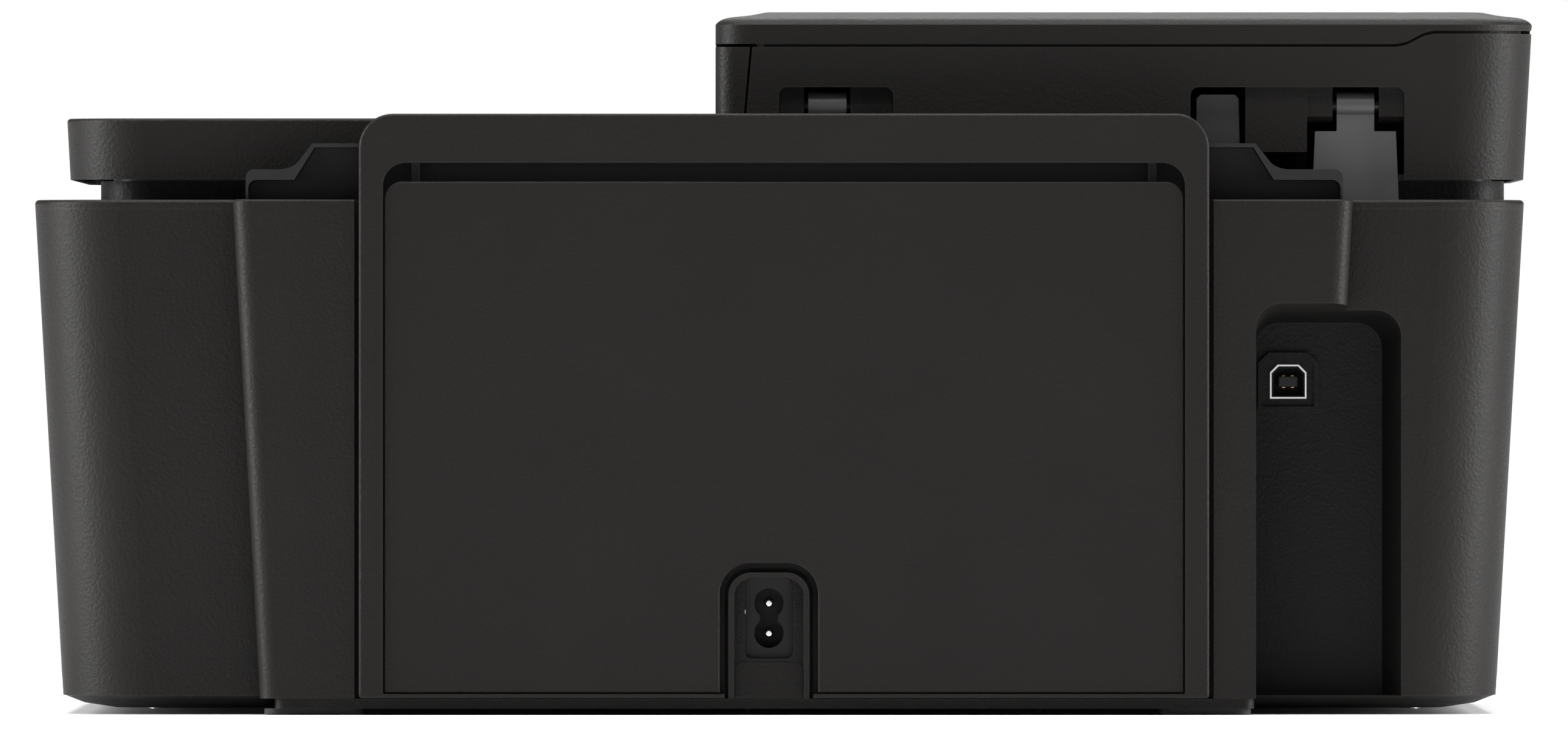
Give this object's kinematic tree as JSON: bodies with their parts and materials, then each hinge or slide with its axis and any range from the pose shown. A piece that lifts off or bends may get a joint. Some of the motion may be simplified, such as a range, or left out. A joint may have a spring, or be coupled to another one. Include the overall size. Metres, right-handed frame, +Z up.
{
  "type": "inkjet printer",
  "caption": "Black all-in-one inkjet printer with a hinged scanner lid, document feeder, rear paper tray and front paper exit.",
  "frame": {"origin": "middle of the footprint, at the height that the feet stand on", "axes": "+X to the user's right, +Y towards the back with the paper tray, +Z up"},
  "size_m": [0.4283, 0.3319, 0.2005],
  "materials": {
    "board": "lacquered",
    "brass": "turned",
    "case_plastic": "fine spark-eroded grain",
    "dark_plastic": "matte",
    "glass": "clear",
    "gloss_plastic": "gloss",
    "natural_plastic": "satin",
    "polished_steel": "ground",
    "rubber": "matte",
    "smooth_plastic": "satin",
    "steel": "zinc-plated",
    "white_foam": "matte"
  },
  "bodies": {
    "body": {"base_pan": "case_plastic", "case_screws": "steel", "control_panel": "gloss_plastic", "display_window": "gloss_plastic", "drive_motors": "steel", "guide_rods": "polished_steel", "hinge_arms": "smooth_plastic", "inlet_pins": "polished_steel", "inlet_surround": "case_plastic", "main_board": "board", "outer_case": "case_plastic", "output_tray": "dark_plastic", "paper_throat": "smooth_plastic", "platen": "dark_plastic", "power_inlet": "dark_plastic", "power_supply": "dark_plastic", "print_frame": "steel", "rear_housing": "case_plastic", "recess_liner": "case_plastic", "rubber_feet": "rubber", "scanner_bezel": "smooth_plastic", "scanner_glass": "glass", "scanner_tub": "case_plastic", "service_station": "natural_plastic", "timing_belt": "rubber", "usb_socket": "polished_steel"},
    "tray_slides": {"tray_slides": "dark_plastic"},
    "input_tray": {"tray_frame": "case_plastic", "tray_panel": "case_plastic"},
    "left_guide": {"width_guide_left": "dark_plastic"},
    "right_guide": {"width_guide_right": "dark_plastic"},
    "guide_pinion": {"guide_pinion": "natural_plastic"},
    "output_extender": {"output_extender": "dark_plastic"},
    "cartridge_door": {"cartridge_door": "case_plastic"},
    "feed_roller": {"feed_shaft": "polished_steel", "feed_gear": "natural_plastic"},
    "motor_pinion": {"motor_pinion": "brass"},
    "idler_gear": {"idler_gear": "natural_plastic"},
    "output_roller": {"output_shaft": "polished_steel", "output_gear": "natural_plastic", "output_tyres": "rubber"},
    "pinch_rollers": {"pinch_rollers": "dark_plastic"},
    "pick_roller": {"pick_roller": "rubber"},
    "motor_pulley": {"motor_pulley": "brass"},
    "belt_idler": {"belt_idler": "natural_plastic"},
    "carriage": {"carriage": "dark_plastic", "cartridges": "gloss_plastic"},
    "latch_black": {"latch_black": "dark_plastic"},
    "latch_colour": {"latch_colour": "smooth_plastic"},
    "scan_head": {"scan_head": "dark_plastic"},
    "lid": {"lid_shell": "case_plastic", "hinge_pins": "polished_steel", "feeder_end_cover": "case_plastic", "feeder_bed": "dark_plastic", "white_backing": "white_foam"},
    "feeder_cover": {"feeder_cover": "case_plastic"},
    "feeder_roller": {"feeder_roller": "rubber"},
    "button_cancel": {"button_cancel": "smooth_plastic"},
    "button_copy": {"button_copy": "smooth_plastic"},
    "button_power": {"button_power": "smooth_plastic"}
  },
  "joints": [
    {"name": "tray_lift", "type": "slide", "parent": "body", "child": "tray_slides", "axis": [0, 0, 1], "range_m": [0, 0.11]},
    {"name": "tray_tilt", "type": "hinge", "parent": "tray_slides", "child": "input_tray", "pos_m": [0, 0.161, 0.0081], "axis": [-1, 0, 0], "range_deg": [0, 15]},
    {"name": "left_guide_slide", "type": "slide", "parent": "body", "child": "left_guide", "axis": [1, 0, 0], "range_m": [0, 0.03]},
    {"name": "right_guide_slide", "type": "slide", "parent": "body", "child": "right_guide", "axis": [1, 0, 0], "range_m": [-0.03, 0]},
    {"name": "guide_pinion_turn", "type": "hinge", "parent": "body", "child": "guide_pinion", "pos_m": [0, 0.132, 0.1], "axis": [0, 1, 0], "range_deg": [0, 250]},
    {"name": "extender_slide", "type": "slide", "parent": "body", "child": "output_extender", "axis": [0, -1, 0], "range_m": [0, 0.085]},
    {"name": "door_hinge", "type": "hinge", "parent": "body", "child": "cartridge_door", "pos_m": [0, -0.15818, 0.0685], "axis": [1, 0, 0], "range_deg": [0, 80]},
    {"name": "feed_turn", "type": "hinge", "parent": "body", "child": "feed_roller", "pos_m": [0, 0.024, 0.046], "axis": [1, 0, 0], "continuous": true},
    {"name": "motor_pinion_turn", "type": "hinge", "parent": "body", "child": "motor_pinion", "pos_m": [-0.186, 0.03293, 0.07053], "axis": [1, 0, 0], "continuous": true},
    {"name": "idler_turn", "type": "hinge", "parent": "body", "child": "idler_gear", "pos_m": [-0.186, -0.00602, 0.04381], "axis": [1, 0, 0], "continuous": true},
    {"name": "output_turn", "type": "hinge", "parent": "body", "child": "output_roller", "pos_m": [0, -0.026, 0.046], "axis": [1, 0, 0], "continuous": true},
    {"name": "pinch_turn", "type": "hinge", "parent": "body", "child": "pinch_rollers", "pos_m": [0, 0.024, 0.0553], "axis": [1, 0, 0], "continuous": true},
    {"name": "pick_turn", "type": "hinge", "parent": "body", "child": "pick_roller", "pos_m": [0, 0.1205, 0.072], "axis": [1, 0, 0], "continuous": true},
    {"name": "carriage_slide", "type": "slide", "parent": "body", "child": "carriage", "axis": [1, 0, 0], "range_m": [-0.261, 0]},
    {"name": "motor_pulley_turn", "type": "hinge", "parent": "body", "child": "motor_pulley", "pos_m": [0.168, 0.049, 0.08], "axis": [0, 1, 0], "continuous": true},
    {"name": "belt_idler_turn", "type": "hinge", "parent": "body", "child": "belt_idler", "pos_m": [-0.168, 0.049, 0.08], "axis": [0, 1, 0], "continuous": true},
    {"name": "black_latch_hinge", "type": "hinge", "parent": "carriage", "child": "latch_black", "pos_m": [0.127, 0.02, 0.1015], "axis": [-1, 0, 0], "range_deg": [0, 18]},
    {"name": "colour_latch_hinge", "type": "hinge", "parent": "carriage", "child": "latch_colour", "pos_m": [0.159, 0.02, 0.1015], "axis": [-1, 0, 0], "range_deg": [0, 18]},
    {"name": "scan_slide", "type": "slide", "parent": "body", "child": "scan_head", "axis": [1, 0, 0], "range_m": [0, 0.3]},
    {"name": "copy_press", "type": "slide", "parent": "body", "child": "button_copy", "axis": [0, 0, -1], "range_m": [0, 0.0007], "stiffness_N_per_m": 400},
    {"name": "cancel_press", "type": "slide", "parent": "body", "child": "button_cancel", "axis": [0, 0, -1], "range_m": [0, 0.0007], "stiffness_N_per_m": 400},
    {"name": "power_press", "type": "slide", "parent": "body", "child": "button_power", "axis": [0, 0, -1], "range_m": [0, 0.0007], "stiffness_N_per_m": 400},
    {"name": "lid_hinge", "type": "hinge", "parent": "body", "child": "lid", "pos_m": [0, 0.1195, 0.1736], "axis": [-1, 0, 0], "range_deg": [0, 60]},
    {"name": "feeder_cover_hinge", "type": "hinge", "parent": "lid", "child": "feeder_cover", "pos_m": [-0.2125, 0.0275, 0.1962], "axis": [0, -1, 0], "range_deg": [0, 100]},
    {"name": "feeder_roller_turn", "type": "hinge", "parent": "lid", "child": "feeder_roller", "pos_m": [-0.052, 0, 0.1834], "axis": [0, 1, 0], "continuous": true}
  ],
  "couplings": [
    {"joint": "right_guide_slide", "follows": "left_guide_slide", "ratio": -1},
    {"joint": "guide_pinion_turn", "follows": "left_guide_slide", "rad_per_m": 142.86},
    {"joint": "motor_pinion_turn", "follows": "feed_turn", "ratio": -3.3333},
    {"joint": "idler_turn", "follows": "feed_turn", "ratio": -2},
    {"joint": "output_turn", "follows": "feed_turn", "ratio": 2},
    {"joint": "pinch_turn", "follows": "feed_turn", "ratio": -2.069},
    {"joint": "motor_pulley_turn", "follows": "carriage_slide", "rad_per_m": 166.67},
    {"joint": "belt_idler_turn", "follows": "carriage_slide", "rad_per_m": 166.67}
  ]
}
